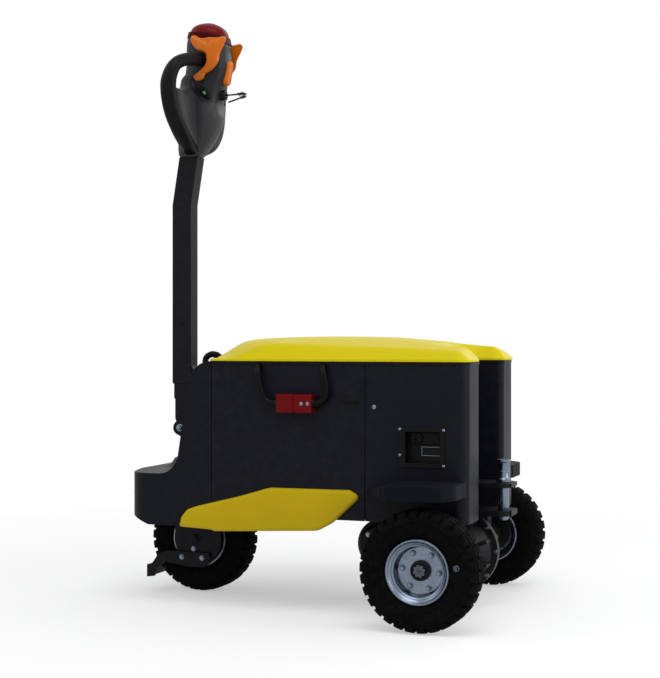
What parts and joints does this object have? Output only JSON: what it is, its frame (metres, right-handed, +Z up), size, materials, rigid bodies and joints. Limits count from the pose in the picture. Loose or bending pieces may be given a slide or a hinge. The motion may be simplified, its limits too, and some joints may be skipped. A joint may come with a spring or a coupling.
{
  "type": "pedestrian electric tow tug",
  "caption": "Walk-behind battery tow tug for baggage carts: tiller-steered front wheel, driven rear wheels, boxy body under a lift-off hood and a drop-pin hitch behind.",
  "frame": {"origin": "on the ground, midway between the front and rear axles and midway between the rear wheels", "axes": "+Z up, +X from the tiller towards the hitch at the back, +Y towards the tug's right-hand side"},
  "size_m": [0.9098, 0.726, 1.3984],
  "materials": {
    "body_paint": "satin navy anthracite paint",
    "black_paint": "satin black powder coat",
    "hood_yellow": "glossy yellow moulding",
    "skirt_yellow": "glossy yellow moulding",
    "cast_grey": "as-cast grey",
    "zinc": "bright zinc plate",
    "hub_steel": "black hub",
    "tyre_rubber": "matt black rubber with lugs",
    "battery_case": "dark grey",
    "black_plastic": "black moulding",
    "cable_black": "black cable jacket",
    "head_grey": "dark grey grained moulding",
    "orange_plastic": "orange moulding",
    "red_plastic": "red moulding"
  },
  "bodies": {
    "chassis": {"front_cowl": "body_paint", "base_pan": "black_paint", "mid_panel_left": "body_paint", "mid_panel_right": "body_paint", "rear_panel_left": "body_paint", "rear_panel_right": "body_paint", "rear_wall": "body_paint", "skirt_left": "skirt_yellow", "skirt_right": "skirt_yellow", "fender_left": "body_paint", "fender_right": "body_paint", "hitch_bracket": "black_paint", "axle_case": "cast_grey", "drive_motor": "black_paint", "battery": "battery_case", "charge_port": "black_plastic", "battery_connector": "red_plastic", "battery_cables": "cable_black", "control_cable": "cable_black", "steer_housing": "body_paint"},
    "hood": {"hood": "hood_yellow"},
    "hitch_pin": {"hitch_pin": "zinc"},
    "steer": {"fork": "black_paint", "front_axle": "zinc", "foot_guard": "black_paint", "steer_head": "black_paint", "tiller_pin": "zinc"},
    "tiller": {"tiller_arm": "black_paint", "tiller_head": "head_grey", "hand_loops": "head_grey", "thumb_paddles": "orange_plastic", "belly_switch": "red_plastic", "head_button": "orange_plastic", "key_switch": "black_plastic"},
    "front_wheel": {"front_rim": "zinc", "front_tyre": "tyre_rubber"},
    "rear_wheel_left": {"rear_rim_left": "zinc", "rear_tyre_left": "tyre_rubber", "rear_hub_left": "hub_steel"},
    "rear_wheel_right": {"rear_rim_right": "zinc", "rear_tyre_right": "tyre_rubber", "rear_hub_right": "hub_steel"}
  },
  "joints": [
    {"name": "steering", "type": "hinge", "parent": "chassis", "child": "steer", "pos_m": [-0.325, 0, 0.3], "axis": [0, 0, 1], "range_deg": [-75, 75]},
    {"name": "tiller_tilt", "type": "hinge", "parent": "steer", "child": "tiller", "pos_m": [-0.382, 0, 0.399], "axis": [0, -1, 0], "range_deg": [0, 85], "stiffness_Nm_per_rad": 32, "springref_deg": -34.38},
    {"name": "front_wheel_spin", "type": "hinge", "parent": "steer", "child": "front_wheel", "pos_m": [-0.325, 0, 0.13], "axis": [0, 1, 0], "continuous": true},
    {"name": "rear_wheel_left_spin", "type": "hinge", "parent": "chassis", "child": "rear_wheel_left", "pos_m": [0.325, -0.32, 0.13], "axis": [0, 1, 0], "continuous": true},
    {"name": "rear_wheel_right_spin", "type": "hinge", "parent": "chassis", "child": "rear_wheel_right", "pos_m": [0.325, 0.32, 0.13], "axis": [0, 1, 0], "continuous": true},
    {"name": "hood_lift", "type": "slide", "parent": "chassis", "child": "hood", "axis": [0, 0, 1], "range_m": [0, 0.12]},
    {"name": "tow_pin_lift", "type": "slide", "parent": "chassis", "child": "hitch_pin", "axis": [0, 0, 1], "range_m": [0, 0.1]}
  ]
}
